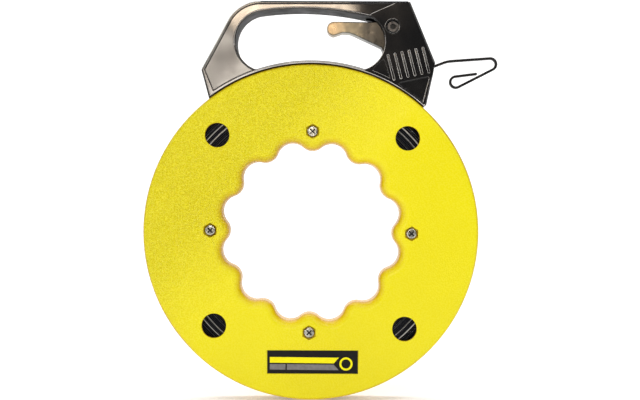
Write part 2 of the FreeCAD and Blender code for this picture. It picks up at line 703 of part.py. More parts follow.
def grip_lever():
    """The squeeze lever: finger bulb, tapering arm, pivot hub and a forked foot over the tape."""
    body = new_body("grip_lever")
    foot_left, foot_right = (released(p) for p in pad_corners(size("pad_height")))
    outline = new_sketch(body, "outline")
    bulb, reach = corner("bulb"), size("bulb_radius")
    bulb_top, bulb_foot = bulb + polar(reach, 90), bulb + polar(reach, -90)
    points = [bulb_top] + [Vector(x, z, 0) for x, z in LEVER_TOP] + [foot_right, foot_left]
    points += [Vector(x, z, 0) for x, z in LEVER_UNDERSIDE] + [bulb_foot]
    straight = [Part.LineSegment(a, b) for a, b in zip(points[:-1], points[1:])]
    chain(outline, straight + [Part.Arc(bulb_foot, bulb + polar(reach, 180), bulb_top)])
    pad(body, "arm", outline, "2 * lever_half", midplane=True)
    hub = new_sketch(body, "hub_outline")
    circle(hub, "pivot_x", "pivot_z", "hub_radius")
    pad(body, "hub", hub, "2 * lever_half", midplane=True)
    bore = new_sketch(body, "bore_outline")
    circle(bore, "pivot_x", "pivot_z", "bush_radius + bush_clearance")
    pocket(body, "bore", bore, "2 * lever_half + 2 * overcut", midplane=True)
    relief = new_sketch(body, "relief_outline", "0 - lever_half - overcut")
    circle(relief, "pivot_x", "pivot_z", "spring_relief_radius")
    pocket(body, "spring_relief", relief, "lever_half + overcut - spring_relief_start")
    fork = new_sketch(body, "fork_outline")
    left, right, low, high = (size("fork_" + side) for side in ("left", "right", "foot", "top"))
    polygon(fork, [Vector(x, z, 0) for x, z in ((left, low), (right, low), (right, high), (left, high))])
    pocket(body, "fork_gap", fork, "2 * fork_half", midplane=True)
    return body


LEVER_TOP = [(53, 189), (64.5, 189.6), (72, 188), (79.5, 183)]
LEVER_UNDERSIDE = [(67, 158), (63.6, 166.1), (49.4, 172.8), (38.6, 177.8), (34.5, 179.3), (28.5, 179.6)]


def brake_pads():
    """Two pads under the fork that press on the rim's lips when the lever is squeezed."""
    body = new_body("brake_pads")
    face = size("case_radius") + size("pad_gap")
    left, right = pad_corners(size("pad_height"))
    reach = math.degrees(math.asin(size("pad_half_length") / face))
    low_left = polar(face, size("pad_angle") + reach)
    low_right = polar(face, size("pad_angle") - reach)
    outline = new_sketch(body, "outline")
    chain(outline, [
        Part.LineSegment(left, right), Part.LineSegment(right, low_right),
        Part.Arc(low_right, polar(face, size("pad_angle")), low_left), Part.LineSegment(low_left, left),
    ])
    pad(body, "both_pads", outline, "2 * pad_outer", midplane=True)
    gap = new_sketch(body, "gap")
    circle(gap, "0", "0", "2 * saddle_radius")
    pocket(body, "middle_gap", gap, "2 * pad_inner", midplane=True)
    pivot = Vector(size("pivot_x"), 0, size("pivot_z"))
    body.Placement = Placement(Vector(0, 0, 0), Rotation(REEL_AXIS, -size("squeeze_angle")), pivot)
    return body


# ---------------------------------------------------------------- the tape outside the case
def tape_path():
    """The tape's centre line from inside the coil to the tip: straights and round turns in the front view."""
    foot, way = leader_line()
    steps = [
        (size("leader_bend") - size("leader_start") - tangent(size("bend_radius"), size("bend_turn")), 0, 0),
        (size("hook_top_length"), size("bend_radius"), size("bend_turn")),
        (size("hook_run_length"), size("hook_tip_radius"), size("hook_tip_turn")),
        (size("hook_end_length"), size("hook_eye_radius"), size("hook_eye_turn")),
    ]
    spot, heading, edges = foot + way * size("leader_start"), size("leader_angle"), []
    for length, radius, turn in steps:
        if turn:
            centre = spot + polar(radius, heading - 90)
            middle = turned(spot, centre, turn / 2)
            end = turned(spot, centre, turn)
            edges.append(Part.Arc(spot, middle, end).toShape())
            spot, heading = end, heading - turn
        end = spot + polar(length, heading)
        edges.append(Part.LineSegment(spot, end).toShape())
        spot = end
    return Part.Wire(edges)


def tangent(radius, turn):
    """How much of a straight a round turn takes up."""
    return radius * math.tan(math.radians(turn / 2))


def tape_leader():
    """The steel strip's free end: straight through the nose, then bent back into a closed hook."""
    path = tape_path()
    half = size("tape_thickness") / 2
    outline = path.makeOffset2D(half, 0, True, False, False)
    face = outline if outline.ShapeType == "Face" else Part.Face(outline)
    strip = face.extrude(Vector(0, 0, size("tape_width")))
    leader = doc.addObject("Part::Feature", "tape_leader")
    leader.Label = "tape_leader"
    leader.Shape = strip if strip.ShapeType == "Solid" else strip.Solids[0]
    spot = Vector(0, size("tape_width") / 2, 0)
    leader.Placement = Placement(spot, Rotation(Vector(1, 0, 0), 90))
    return leader


builders = [front_case, rear_case, case_screws, case_nuts, label_plate, tape_coil, tape_anchor,
            handle_front, handle_rear, handle_screws, lever_pivot_bolt, lever_pivot_nut, lever_bush,
            lever_spring, rim_shoe_left, rim_shoe_right, tape_guide, grip_lever, brake_pads, tape_leader]
for build in builders:
    nodes.append(build())
doc.recompute()

for item in doc.Objects:
    if {"Invalid", "Error"} & set(item.State):
        raise RuntimeError(f"{item.Label} did not recompute: {item.State}")
os.makedirs("parts", exist_ok=True)
for item in nodes:
    if item.Shape.isNull() or not item.Shape.isValid():
        raise RuntimeError(f"{item.Label} has no valid shape")
    item.Shape.exportStep(f"parts/{item.Label}.step")
    box = item.Shape.BoundBox
    print(f"{item.Label}: {len(item.Shape.Solids)} solids, {item.Shape.Volume:.0f} mm3, {box}")
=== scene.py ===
import json
import math
import random
import bmesh
import bpy
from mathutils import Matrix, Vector

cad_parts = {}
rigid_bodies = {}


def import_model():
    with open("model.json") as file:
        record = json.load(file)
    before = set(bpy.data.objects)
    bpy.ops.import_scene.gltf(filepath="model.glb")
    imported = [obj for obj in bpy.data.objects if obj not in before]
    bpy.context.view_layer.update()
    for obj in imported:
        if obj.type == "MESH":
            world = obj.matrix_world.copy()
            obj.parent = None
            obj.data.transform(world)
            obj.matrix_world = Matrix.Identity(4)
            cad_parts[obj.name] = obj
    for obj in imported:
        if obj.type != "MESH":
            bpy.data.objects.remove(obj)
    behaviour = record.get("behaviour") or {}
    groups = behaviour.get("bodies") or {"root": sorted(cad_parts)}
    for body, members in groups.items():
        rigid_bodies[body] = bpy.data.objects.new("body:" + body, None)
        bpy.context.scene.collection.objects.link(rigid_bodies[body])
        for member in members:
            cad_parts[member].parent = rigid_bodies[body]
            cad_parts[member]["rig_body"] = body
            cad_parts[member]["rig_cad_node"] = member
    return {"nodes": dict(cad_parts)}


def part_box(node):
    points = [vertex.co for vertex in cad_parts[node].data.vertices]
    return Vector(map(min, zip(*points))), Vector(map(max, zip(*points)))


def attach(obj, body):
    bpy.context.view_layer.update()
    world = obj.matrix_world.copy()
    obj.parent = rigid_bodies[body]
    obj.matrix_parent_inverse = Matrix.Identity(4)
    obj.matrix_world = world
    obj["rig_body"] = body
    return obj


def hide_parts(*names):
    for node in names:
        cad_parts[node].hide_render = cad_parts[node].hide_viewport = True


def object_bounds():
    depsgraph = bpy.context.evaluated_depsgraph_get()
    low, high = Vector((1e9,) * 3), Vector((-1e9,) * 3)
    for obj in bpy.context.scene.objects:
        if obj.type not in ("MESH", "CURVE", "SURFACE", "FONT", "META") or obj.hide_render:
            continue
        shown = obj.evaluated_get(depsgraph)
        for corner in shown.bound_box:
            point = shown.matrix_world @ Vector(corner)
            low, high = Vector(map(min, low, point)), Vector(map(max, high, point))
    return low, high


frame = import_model()
cad_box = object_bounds()
nodes = frame["nodes"]


# Camera: level with the reel, square to its front, about an arm's length away.
# Its place is in metres, its sensor and lens in millimetres.
CAMERA_PLACE = (0.0082, -0.93, 0.0286)
SENSOR_WIDTH = 36
LENS = 57.6
bpy.ops.object.camera_add(location=CAMERA_PLACE, rotation=(math.radians(90), 0, 0))
camera = bpy.context.object
camera.data.sensor_width = SENSOR_WIDTH
camera.data.lens = LENS
bpy.context.scene.camera = camera


# Studio: one pale sheet that sweeps up from the floor into a wall, with soft lamps around it.
# The sweep is a flat plane whose back edge is extruded upwards and whose fold is rounded.
# The two warm lamps stand where the handle's leg and bar mirror them.
FLOOR_GAP = 0.0015
SHEET_SIZE = 4
WALL_HEIGHT = 3
FOLD_WIDTH, FOLD_SEGMENTS = 1.2, 24
PAPER = {"Base Color": (0.9, 0.9, 0.9, 1), "Roughness": 0.9,
         "Emission Color": (1, 1, 1, 1), "Emission Strength": 0.25}
WORLD_STRENGTH = 0.09
WHITE = (1, 1, 1)
# name, place, aim, width and height in metres, watts, colour
LAMPS = (
    ("key_right", (1.0, -1.3, 0.75), (0, 0, 0.02), 0.7, 0.7, 5.3, (1, 0.985, 0.95)),
    ("fill_left", (-1.3, -1.1, 0.2), (0, 0, 0.02), 0.8, 0.8, 1.8, (1, 0.98, 0.95)),
    ("top_strip", (0.1, -0.75, 1.25), (0, 0, 0.1), 1.5, 0.06, 6.5, WHITE),
    ("left_strip", (-1.25, -0.55, 0.35), (0, 0, 0.1), 0.06, 1.2, 3.2, WHITE),
    ("wall_wash", (0, 0.5, 2.0), (0, 1.7, 0.4), 2.6, 0.5, 26, WHITE),
    ("floor_wash", (0, 0.75, 1.6), (0, 0.6, -0.15), 2.4, 0.5, 10, WHITE),
    ("warm_upright", (-0.19, -1.3, 0.262), (-0.08, 0, 0.12), 0.15, 0.19, 1.7, (1, 0.90, 0.78)),
    ("warm_bar", (-0.08, -1.3, 0.45), (-0.03, 0, 0.2), 0.24, 0.07, 2.0, (1, 0.80, 0.60)),
)


def select_only(obj):
    """Selects one object alone and makes it active."""
    bpy.ops.object.select_all(action="DESELECT")
    obj.select_set(True)
    bpy.context.view_layer.objects.active = obj


def settle(obj):
    """Puts the object's place into its mesh."""
    select_only(obj)
    bpy.ops.object.transform_apply(location=True, rotation=True, scale=True)
    return obj


def studio_sweep():
    """The pale paper: a floor just under the reel, a wall behind it and a round fold between."""
    low = cad_box[0].z - FLOOR_GAP
    bpy.ops.object.select_all(action="DESELECT")
    bpy.ops.mesh.primitive_plane_add(size=SHEET_SIZE, location=(0, 0, low))
    sweep = bpy.context.object
    sweep.name = "studio_sweep"
    bpy.ops.object.mode_set(mode="EDIT")
    bpy.ops.mesh.select_mode(type="EDGE")
    bpy.ops.mesh.select_all(action="DESELECT")
    bpy.ops.object.mode_set(mode="OBJECT")
    for edge in sweep.data.edges:
        edge.select = all(sweep.data.vertices[v].co.y > 0 for v in edge.vertices)
    bpy.ops.object.mode_set(mode="EDIT")
    bpy.ops.mesh.extrude_region_move(TRANSFORM_OT_translate={"value": (0, 0, WALL_HEIGHT)})
    bpy.ops.object.mode_set(mode="OBJECT")
    settle(sweep)
    fold = sweep.modifiers.new("fold", "BEVEL")
    fold.width, fold.segments, fold.limit_method = FOLD_WIDTH, FOLD_SEGMENTS, "ANGLE"
    bpy.ops.object.modifier_apply(modifier="fold")
    bpy.ops.object.shade_smooth()
    paper = bpy.data.materials.new("pale_paper")
    paper.use_nodes = True
    for name, setting in PAPER.items():
        paper.node_tree.nodes["Principled BSDF"].inputs[name].default_value = setting
    sweep.data.materials.append(paper)


def softbox(name, spot, aim, width, height, watts, colour):
    """A rectangular lamp that faces a point."""
    bpy.ops.object.light_add(type="AREA", location=spot)
    lamp = bpy.context.object
    lamp.name = name
    lamp.rotation_euler = (Vector(aim) - Vector(spot)).to_track_quat("-Z", "Y").to_euler()
    lamp.data.shape = "RECTANGLE"
    lamp.data.size, lamp.data.size_y = width, height
    lamp.data.energy = watts
    lamp.data.color = colour


studio_sweep()
for lamp_row in LAMPS:
    softbox(*lamp_row)
world = bpy.data.worlds.new("studio")
bpy.context.scene.world = world
world.use_nodes = True
world.node_tree.nodes["Background"].inputs["Color"].default_value = (*WHITE, 1)
world.node_tree.nodes["Background"].inputs["Strength"].default_value = WORLD_STRENGTH
bpy.context.scene.view_settings.view_transform = "Standard"


# Case halves: two injection moulded rings of yellow ABS with a spark-eroded grain.
# They are screwed face to face and turn inside the handle's rim shoes.
# Their mouths, where the windows, screw heads and nuts sit, have softened edges.
# From here on, named sizes and the outlines in the front view are in millimetres, angles in degrees.
FACET_ANGLE = 0.5
MOUTH_DEPTH = 15.6
MOUTH_EDGE = 0.45
# in metres: vertices nearer than this are one
WELD = 0.000002
# in cycles per metre
GRAIN_SCALE = 760


def millimetres(point):
    """A length or place in metres, given in millimetres."""
    return point * 1000


def joined_copy(node):
    """A copy of a CAD piece with its loose triangles joined, which rides as it does and replaces it."""
    bpy.ops.object.select_all(action="DESELECT")
    piece = nodes[node].copy()
    piece.data = nodes[node].data.copy()
    piece.parent = None
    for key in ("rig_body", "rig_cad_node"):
        if key in piece:
            del piece[key]
    piece.name = node + "_made"
    bpy.context.scene.collection.objects.link(piece)
    select_only(piece)
    bpy.ops.object.mode_set(mode="EDIT")
    bpy.ops.mesh.select_all(action="SELECT")
    bpy.ops.mesh.remove_doubles(threshold=WELD)
    bpy.ops.mesh.dissolve_limited(angle_limit=math.radians(FACET_ANGLE))
    bpy.ops.object.mode_set(mode="OBJECT")
    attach(piece, nodes[node]["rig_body"])
    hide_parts(node)
    return piece


def soften(piece, width, segments, picked, angle=50):
    """Rounds the sharp outward edges that the test picks by their middle and their two faces."""
    select_only(piece)
    bpy.ops.object.mode_set(mode="EDIT")
    bpy.ops.mesh.select_mode(type="EDGE")
    bpy.ops.mesh.select_all(action="DESELECT")
    mesh = bmesh.from_edit_mesh(piece.data)
    for edge in mesh.edges:
        if len(edge.link_faces) == 2 and edge.is_convex and edge.calc_face_angle() > math.radians(angle):
            middle = millimetres((edge.verts[0].co + edge.verts[1].co) / 2)
            edge.select = picked(middle, edge)
    bmesh.update_edit_mesh(piece.data)
    bpy.ops.mesh.bevel(offset=width / 1000, segments=segments, affect="EDGES", clamp_overlap=False)
    bpy.ops.object.mode_set(mode="OBJECT")


def shade(piece, angle=35):
    """Drops zero-sized faces, then shades smoothly, with large faces flat up to their rounded edges."""
    select_only(piece)
    bpy.ops.object.mode_set(mode="EDIT")
    bpy.ops.mesh.select_all(action="SELECT")
    bpy.ops.mesh.remove_doubles(threshold=WELD)
    bpy.ops.mesh.dissolve_degenerate(threshold=WELD)
    bpy.ops.object.mode_set(mode="OBJECT")
    bpy.ops.object.shade_smooth_by_angle(angle=math.radians(angle))
    level = piece.modifiers.new("level", "WEIGHTED_NORMAL")
    level.keep_sharp, level.weight = True, 50
    bpy.ops.object.modifier_apply(modifier="level")


def material(name, colour, roughness, metallic=0.0):
    """A new material with its shader ready."""
    made = bpy.data.materials.new(name)
    made.use_nodes = True
    shader = made.node_tree.nodes["Principled BSDF"]
    shader.inputs["Base Color"].default_value = (*colour, 1)
    shader.inputs["Roughness"].default_value = roughness
    shader.inputs["Metallic"].default_value = metallic
    return made, made.node_tree, shader


def object_noise(tree, scale, detail=2.0, stretch=(1, 1, 1)):
    """A noise on the object's own coordinates, in cycles per metre."""
    place = tree.nodes.new("ShaderNodeTexCoord")
    mapping = tree.nodes.new("ShaderNodeMapping")
    mapping.inputs["Scale"].default_value = stretch
    noise = tree.nodes.new("ShaderNodeTexNoise")
    noise.inputs["Scale"].default_value = scale
    noise.inputs["Detail"].default_value = detail
    tree.links.new(place.outputs["Object"], mapping.inputs["Vector"])
    tree.links.new(mapping.outputs["Vector"], noise.inputs["Vector"])
    return noise.outputs["Fac"]


def bump_from(tree, shader, height, strength, distance):
    """A relief on the shader from a height socket."""
    bump = tree.nodes.new("ShaderNodeBump")
    bump.inputs["Strength"].default_value = strength
    bump.inputs["Distance"].default_value = distance
    tree.links.new(height, bump.inputs["Height"])
    tree.links.new(bump.outputs["Normal"], shader.inputs["Normal"])
    return bump


def ramp(tree, source, low, high, stops=(0.3, 0.7)):
    """Two colours spread over a noise."""
    spread = tree.nodes.new("ShaderNodeValToRGB")
    spread.color_ramp.elements[0].position, spread.color_ramp.elements[1].position = stops
    spread.color_ramp.elements[0].color = (*low, 1)
    spread.color_ramp.elements[1].color = (*high, 1)
    tree.links.new(source, spread.inputs["Fac"])
    return spread.outputs["Color"]


def grey(value):
    """An even colour, or a plain number for a colour socket."""
    return (value, value, value)


def mixed(tree, factor, first, second, how="MIX"):
    """One colour laid over another, by a factor that is a number or a socket."""
    mix = tree.nodes.new("ShaderNodeMix")
    mix.data_type, mix.blend_type = "RGBA", how
    if isinstance(factor, (int, float)):
        mix.inputs["Factor"].default_value = factor
    else:
        tree.links.new(factor, mix.inputs["Factor"])
    for name, colour in (("A", first), ("B", second)):
        if isinstance(colour, tuple):
            mix.inputs[name].default_value = (*colour, 1)
        else:
            tree.links.new(colour, mix.inputs[name])
    return mix.outputs["Result"]


def yellow_moulding():
    """Fine grain, stronger on the upper left than elsewhere, which is a painted glint, and a deeper
    orange tone on the walls, which is painted shade.
    """
    made, tree, shader = material("case_yellow_moulding", (0.86, 0.77, 0.006), 0.42)
    shader.inputs["Specular IOR Level"].default_value = 0.35
    place = tree.nodes.new("ShaderNodeTexCoord")
    side = tree.nodes.new("ShaderNodeVectorMath")
    side.operation = "DOT_PRODUCT"
    side.inputs[1].default_value = (-0.75, 0, 0.65)
    tree.links.new(place.outputs["Object"], side.inputs[0])
    # The grain's specks and relief stand out on the upper left only: a painted glint of light raking the
    # grain there.
    painted_glint_side = ramp(tree, side.outputs["Value"], grey(0.12), grey(1), (0.0, 0.085))
    grain = object_noise(tree, GRAIN_SCALE, 2)
    speck = ramp(tree, grain, (0.80, 0.69, 0.004), (0.93, 0.86, 0.02), (0.35, 0.65))
    face = mixed(tree, painted_glint_side, (0.865, 0.785, 0.005), speck)
    cloud = ramp(tree, object_noise(tree, 9, 3), (0.95, 0.93, 0.8), (1, 1, 1))
    face = mixed(tree, 1, face, cloud, "MULTIPLY")
    turned = tree.nodes.new("ShaderNodeSeparateXYZ")
    tree.links.new(place.outputs["Normal"], turned.inputs["Vector"])
    flatness = tree.nodes.new("ShaderNodeMath")
    flatness.operation = "ABSOLUTE"
    tree.links.new(turned.outputs["Y"], flatness.inputs[0])
    # Faces that turn sideways get a deeper orange tone: painted shade.
    wall = ramp(tree, flatness.outputs["Value"], grey(1), grey(0), (0.25, 0.97))
    tree.links.new(mixed(tree, wall, face, (0.66, 0.36, 0.003)), shader.inputs["Base Color"])
    bump = bump_from(tree, shader, grain, 0.5, 0.0022)
    tree.links.new(painted_glint_side, bump.inputs["Strength"])
    tree.links.new(ramp(tree, grain, grey(0.14), grey(0.4)), shader.inputs["Roughness"])
    return made


def dress(piece, made):
    """Gives a piece its material."""
    piece.data.materials.clear()
    piece.data.materials.append(made)


def refinish(made, *names):
    """Gives CAD pieces that keep their shape a better finish."""
    for name in names:
        nodes[name].data.materials.clear()
        nodes[name].data.materials.append(made)


yellow = yellow_moulding()
for half in ("front_case", "rear_case"):
    case = joined_copy(half)
    soften(case, MOUTH_EDGE, 3, lambda middle, edge: abs(middle.y) > MOUTH_DEPTH)
    shade(case)
    dress(case, yellow)


# Handle halves: glossy black ABS mouldings, hollow in the head, screwed together from behind.
# A rounded lip runs round the leg, bar and saddle, and the faces inside it are sunk.
# Both are cut from the solid shape with plates whose rear rim is rounded inwards.
HANDLE_FACE = 15
RING_FACE = 15.7
SADDLE_LIP = 152.9
BAR_START = (-46, 197.4)
OPENING_LIP = 0.65
CUTTER_HEIGHT = 1.6
NEAR = 0.01
# in square metres: the lips' facets are smaller than this, and the flat faces larger
SMALL_FACE = 0.00002
RIB_COUNT = 6
RIB_PITCH = 6.37
RIB_MIDDLE = (71.6, 147.1)
RIB_LEAN = 14
RIB_ROW_ANGLE = 11.6
# each lip's edge radius, by its place
LIP_EDGES = ((1.5, "saddle"), (0.55, "opening"), (1.1, "base"), (1.25, "outside"))


def unit(degrees):
    """A direction in the front view."""
    return Vector((math.cos(math.radians(degrees)), math.sin(math.radians(degrees))))


def arc(centre, radius, start, end, steps=12):
    """Points on a round stretch in the front view, in millimetres, from one angle to another."""
    angles = [math.radians(start + (end - start) * k / steps) for k in range(steps + 1)]
    return [(centre[0] + radius * math.cos(a), centre[1] + radius * math.sin(a)) for a in angles]


def circle_through(p, q, r):
    """Centre and radius of the circle through three points."""
    ax, az, bx, bz = q[0] - p[0], q[1] - p[1], r[0] - p[0], r[1] - p[1]
    twice = 2 * (ax * bz - az * bx)
    a, b = ax * ax + az * az, bx * bx + bz * bz
    x, z = (bz * a - az * b) / twice, (ax * b - bx * a) / twice
    return (p[0] + x, p[1] + z), math.hypot(x, z)


def heading(centre, point):
    """The angle from a centre to a point, in degrees."""
    return math.degrees(math.atan2(point[1] - centre[1], point[0] - centre[0]))


def sheet_of(outline, depth):
    """A flat sheet at a depth, cut to an outline given in millimetres in the front view."""
    bpy.ops.object.select_all(action="DESELECT")
    bpy.ops.mesh.primitive_circle_add(vertices=len(outline), fill_type="NGON")
    sheet = bpy.context.object
    for vertex, (x, z) in zip(sheet.data.vertices, outline):
        vertex.co = Vector((x, depth, z)) / 1000
    return sheet


def thick_plate(outline, front, rear):
    """A plate between two depths, with its rear face left selected in edit mode."""
    plate = sheet_of(outline, front)
    bpy.ops.object.mode_set(mode="EDIT")
    bpy.ops.mesh.select_mode(type="FACE")
    bpy.ops.mesh.select_all(action="SELECT")
    bpy.ops.mesh.extrude_region_move(TRANSFORM_OT_translate={"value": (0, (rear - front) / 1000, 0)})
    bpy.ops.mesh.select_all(action="SELECT")
    bpy.ops.mesh.normals_make_consistent(inside=False)
    bpy.ops.mesh.select_all(action="DESELECT")
    mesh = bmesh.from_edit_mesh(plate.data)
    for face in mesh.faces:
        depth = millimetres(face.calc_center_median().y)
        face.select = abs(depth - rear) < NEAR and len(face.verts) > 4
    mesh.select_flush_mode()
    bmesh.update_edit_mesh(plate.data)
    return plate


def sinking_plate(outline, side, face, rim, floor):
    """The shape of a sunk face: its rim rolls inwards and its floor meets the wall in a small fillet."""
    plate = thick_plate(outline, side * (face + CUTTER_HEIGHT), side * face)
    turns = [math.radians(30 * k) for k in range(4)]
    spots = [(rim * math.sin(a), rim * (1 - math.cos(a))) for a in turns]
    spots += [(rim + floor * (1 - math.cos(a)), rim + floor * math.sin(a)) for a in turns[1:]]
    for (near, above), (far, below) in zip(spots, spots[1:]):
        bpy.ops.mesh.inset(thickness=(far - near) / 1000, depth=(below - above) / 1000)
    bpy.ops.object.mode_set(mode="OBJECT")
    return plate


def carve(piece, cutter):
    """Cuts the cutter out of the piece and deletes the cutter."""
    select_only(piece)
    cut = piece.modifiers.new("cut", "BOOLEAN")
    cut.object, cut.operation, cut.solver = cutter, "DIFFERENCE", "EXACT"
    bpy.ops.object.modifier_apply(modifier="cut")
    bpy.data.objects.remove(cutter)


LEFT_END = circle_through((-49, 145.5), (-67.2, 172.5), BAR_START)
BAR_UNDER = circle_through(BAR_START, (-8, 200), (56, 191.8))


def leg_and_bar_panel():
    """The sunk face that runs up the left leg and along the bar to the slanted crease at the head."""
    centre, radius = LEFT_END
    radius += OPENING_LIP
    meet = next(a / 10 for a in range(1000, 1250)
                if math.dist(arc((0, 0), SADDLE_LIP, a / 10, a / 10, 1)[0], centre) > radius)
    foot = arc((0, 0), SADDLE_LIP, meet, meet, 1)[0]
    points = arc((0, 0), SADDLE_LIP, 124.9, meet, 14)
    points += arc(centre, radius, heading(centre, foot), heading(centre, BAR_START) - 360, 26)[1:-1]
    centre, radius = BAR_UNDER
    start, end = heading(centre, BAR_START), heading(centre, (53, 192))
    points += arc(centre, radius + OPENING_LIP, start, end, 20)
    points += [(54.6, 194.6), (78, 204.9)]
    points += arc((-45, 173.5), 31.4, 90, 151.8, 14)
    return points + [(-95.7, 145.6), (-95.4, 144.4)]


def toe_panel():
    """The sunk triangle under the grip ribs, its long side along the saddle."""
    return arc((0, 0), SADDLE_LIP, 60.0, 48.9, 8) + [(106.3, 136.9), (105.2, 139.5), (80.2, 134.2)]


def knuckle_panel():
    """The small sunk corner between the finger opening and the first rib."""
    return arc((0, 0), 154.2, 69.2, 62.5, 4) + [(67.3, 151), (65.2, 155.2), (60.4, 151.2), (56.4, 147.4)]


def rib_field():
    """The shallow sunk patch that the grip ribs stand in."""
    row, half_length = unit(RIB_ROW_ANGLE), unit(90 + RIB_LEAN) * 12.9
    first = Vector(RIB_MIDDLE) - row * 2.9
    last = Vector(RIB_MIDDLE) + row * (RIB_PITCH * (RIB_COUNT - 1) + 2.9)
    corners = (first - half_length, last - half_length, last + half_length, first + half_length)
    return [tuple(corner) for corner in corners]


def black_moulding():
    """Polished black plastic with a slight haze and the gentle ripple of a moulded surface."""
    made, tree, shader = material("handle_black_moulding", (0.006, 0.006, 0.0065), 0.16)
    shader.inputs["IOR"].default_value = 1.56
    haze = object_noise(tree, 45, 3)
    tree.links.new(ramp(tree, haze, grey(0.09), grey(0.17)), shader.inputs["Roughness"])
    bump_from(tree, shader, object_noise(tree, 13, 1), 0.4, 0.006)
    return made


def painted_crest_highlight():
    """A pale tone laid on the crests of the lips: a painted highlight, standing for the bright lines of a
    polished edge.
    """
    made, tree, shader = material("handle_rubbed_crest", (0.4, 0.39, 0.37), 0.3)
    painted_highlight = ramp(tree, object_noise(tree, 35, 3), (0.26, 0.255, 0.25), (0.85, 0.83, 0.80), (0.3, 0.55))
    tree.links.new(painted_highlight, shader.inputs["Base Color"])
    return made


def shaded_wall():
    """The same plastic with a duller finish than its own: a shaded copy that keeps the opening's walls
    dark over pale paper, standing for shade.
    """
    made, tree, shader = material("handle_wall_dulled_for_shade", (0.006, 0.006, 0.0065), 0.5)
    shader.inputs["Specular IOR Level"].default_value = 0.12
    polish = ramp(tree, object_noise(tree, 60, 3), grey(0.4), grey(0.6))
    tree.links.new(polish, shader.inputs["Roughness"])
    return made


def darken_opening(piece, made):
    """Gives the shaded copy, with its duller finish, to the walls round the hand opening."""
    piece.data.materials.append(made)
    for face in piece.data.polygons:
        x, z = millimetres(face.center.x), millimetres(face.center.z)
        inside = -70 < x < 76 and math.hypot(x, z) > 152.5 and z < 200.6 and x < 150 - 0.3 * z
        facing_in = face.normal.z * (z - 175) + face.normal.x * x * 0.3 < 0
        if abs(face.normal.y) < 0.45 and inside and facing_in:
            face.material_index = len(piece.data.materials) - 1


def paint_crest_highlight(piece, side, made, low=0.4, high=0.93, lowest=0.3):
    """Lays the pale tone, a painted highlight, on the saddle lip's crest and on lip faces that look up or
    to the left.
    """
    piece.data.materials.append(made)
    for face in piece.data.polygons:
        front, slant = face.normal.y * side, face.normal.z - 0.6 * face.normal.x
        proud = abs(millimetres(face.center.y)) > HANDLE_FACE - 0.65
        radius = millimetres(math.hypot(face.center.x, face.center.z))
        if radius < 154.2:
            painted_highlight = 151.2 < radius < 153 and 0.93 < front < 0.9999
        else:
            painted_highlight = low < front < high and slant > lowest
        if proud and painted_highlight and face.area < SMALL_FACE:
            face.material_index = 1


def lip_place(middle, edge):
    """Which of the face's outward edges this is, or None for the edges of holes and raised details."""
    walls = [abs(millimetres(f.calc_center_median().y)) for f in edge.link_faces]
    if abs(abs(middle.y) - HANDLE_FACE) > 0.02 or min(walls) > HANDLE_FACE - 0.1:
        return None
    radius = math.hypot(middle.x, middle.z)
    if radius < 151.2:
        return "saddle"
    if abs(middle.x) < 52 and radius < 154.8:
        return "base"
    inside = -68.5 < middle.x < 76 and 141 < middle.z < 201.5 and middle.x < 150 - 0.3 * middle.z
    right_end = math.dist((middle.x, middle.z), (44.5, 169)) < 34
    left_end = math.dist((middle.x, middle.z), LEFT_END[0]) < LEFT_END[1] + 0.6
    on_opening = inside and (right_end or left_end or abs(middle.x) < 48)
    return "opening" if on_opening else "outside"


black = black_moulding()
crest_highlight = painted_crest_highlight()
wall = shaded_wall()
for half, side in (("handle_front", -1), ("handle_rear", 1)):
    piece = joined_copy(half)
    # each sunk face's outline, and the radii of its rim and of the fillet at its floor
    panels = [(leg_and_bar_panel(), 0.9, 0.35), (toe_panel(), 0.9, 0.3), (knuckle_panel(), 0.4, 0.3)]
    if side < 0:
        panels.append((rib_field(), 0.2, 0.2))
    for outline, rim, floor in panels:
        carve(piece, sinking_plate(outline, side, HANDLE_FACE, rim, floor))
    for width, place in LIP_EDGES:
        soften(piece, width, 5, lambda middle, edge: lip_place(middle, edge) == place, 60)
    soften(piece, 0.4, 3, lambda middle, edge: abs(middle.y) > RING_FACE)
    shade(piece)
    dress(piece, black)
    # The lips' crests get the pale tone: a painted highlight.
    paint_crest_highlight(piece, side, crest_highlight)
    darken_opening(piece, wall)


# Grip ribs: six half-round bars on the front half, part of the same black moulding.
# One bar is rounded all over and copied along the row, its rear half buried in the face.
RIB_SIZE = (2.7, 2.5, 24.5)
RIB_DEPTH = -14.75
RIB_ROUNDING = 1.2


def grip_ribs():
    """The row of bars, joined into one piece that rides on the handle."""
    bpy.ops.object.select_all(action="DESELECT")
    bpy.ops.mesh.primitive_cube_add(size=1, location=(0, 0, 0))
    bar = bpy.context.object
    bar.scale = Vector(RIB_SIZE) / 1000
    settle(bar)
    bar.location = Vector((RIB_MIDDLE[0], RIB_DEPTH, RIB_MIDDLE[1])) / 1000
    bar.rotation_euler = (0, math.radians(-RIB_LEAN), 0)
    settle(bar)
    rounded = bar.modifiers.new("rounded", "BEVEL")
    rounded.width, rounded.segments = RIB_ROUNDING / 1000, 5
    bpy.ops.object.modifier_apply(modifier="rounded")
    row = [bar]
    for k in range(1, RIB_COUNT):
        select_only(bar)
        step = unit(RIB_ROW_ANGLE) * RIB_PITCH * k / 1000
        bpy.ops.object.duplicate_move(TRANSFORM_OT_translate={"value": (step.x, 0, step.y)})
        row.append(bpy.context.object)
    bpy.ops.object.select_all(action="DESELECT")
    for one in row:
        one.select_set(True)
    bpy.context.view_layer.objects.active = bar
    bpy.ops.object.join()
    bar.name = "grip_ribs"
    bpy.ops.object.shade_smooth_by_angle(angle=math.radians(40))
    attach(bar, "handle")
    return settle(bar)


ribs = grip_ribs()
dress(ribs, black)
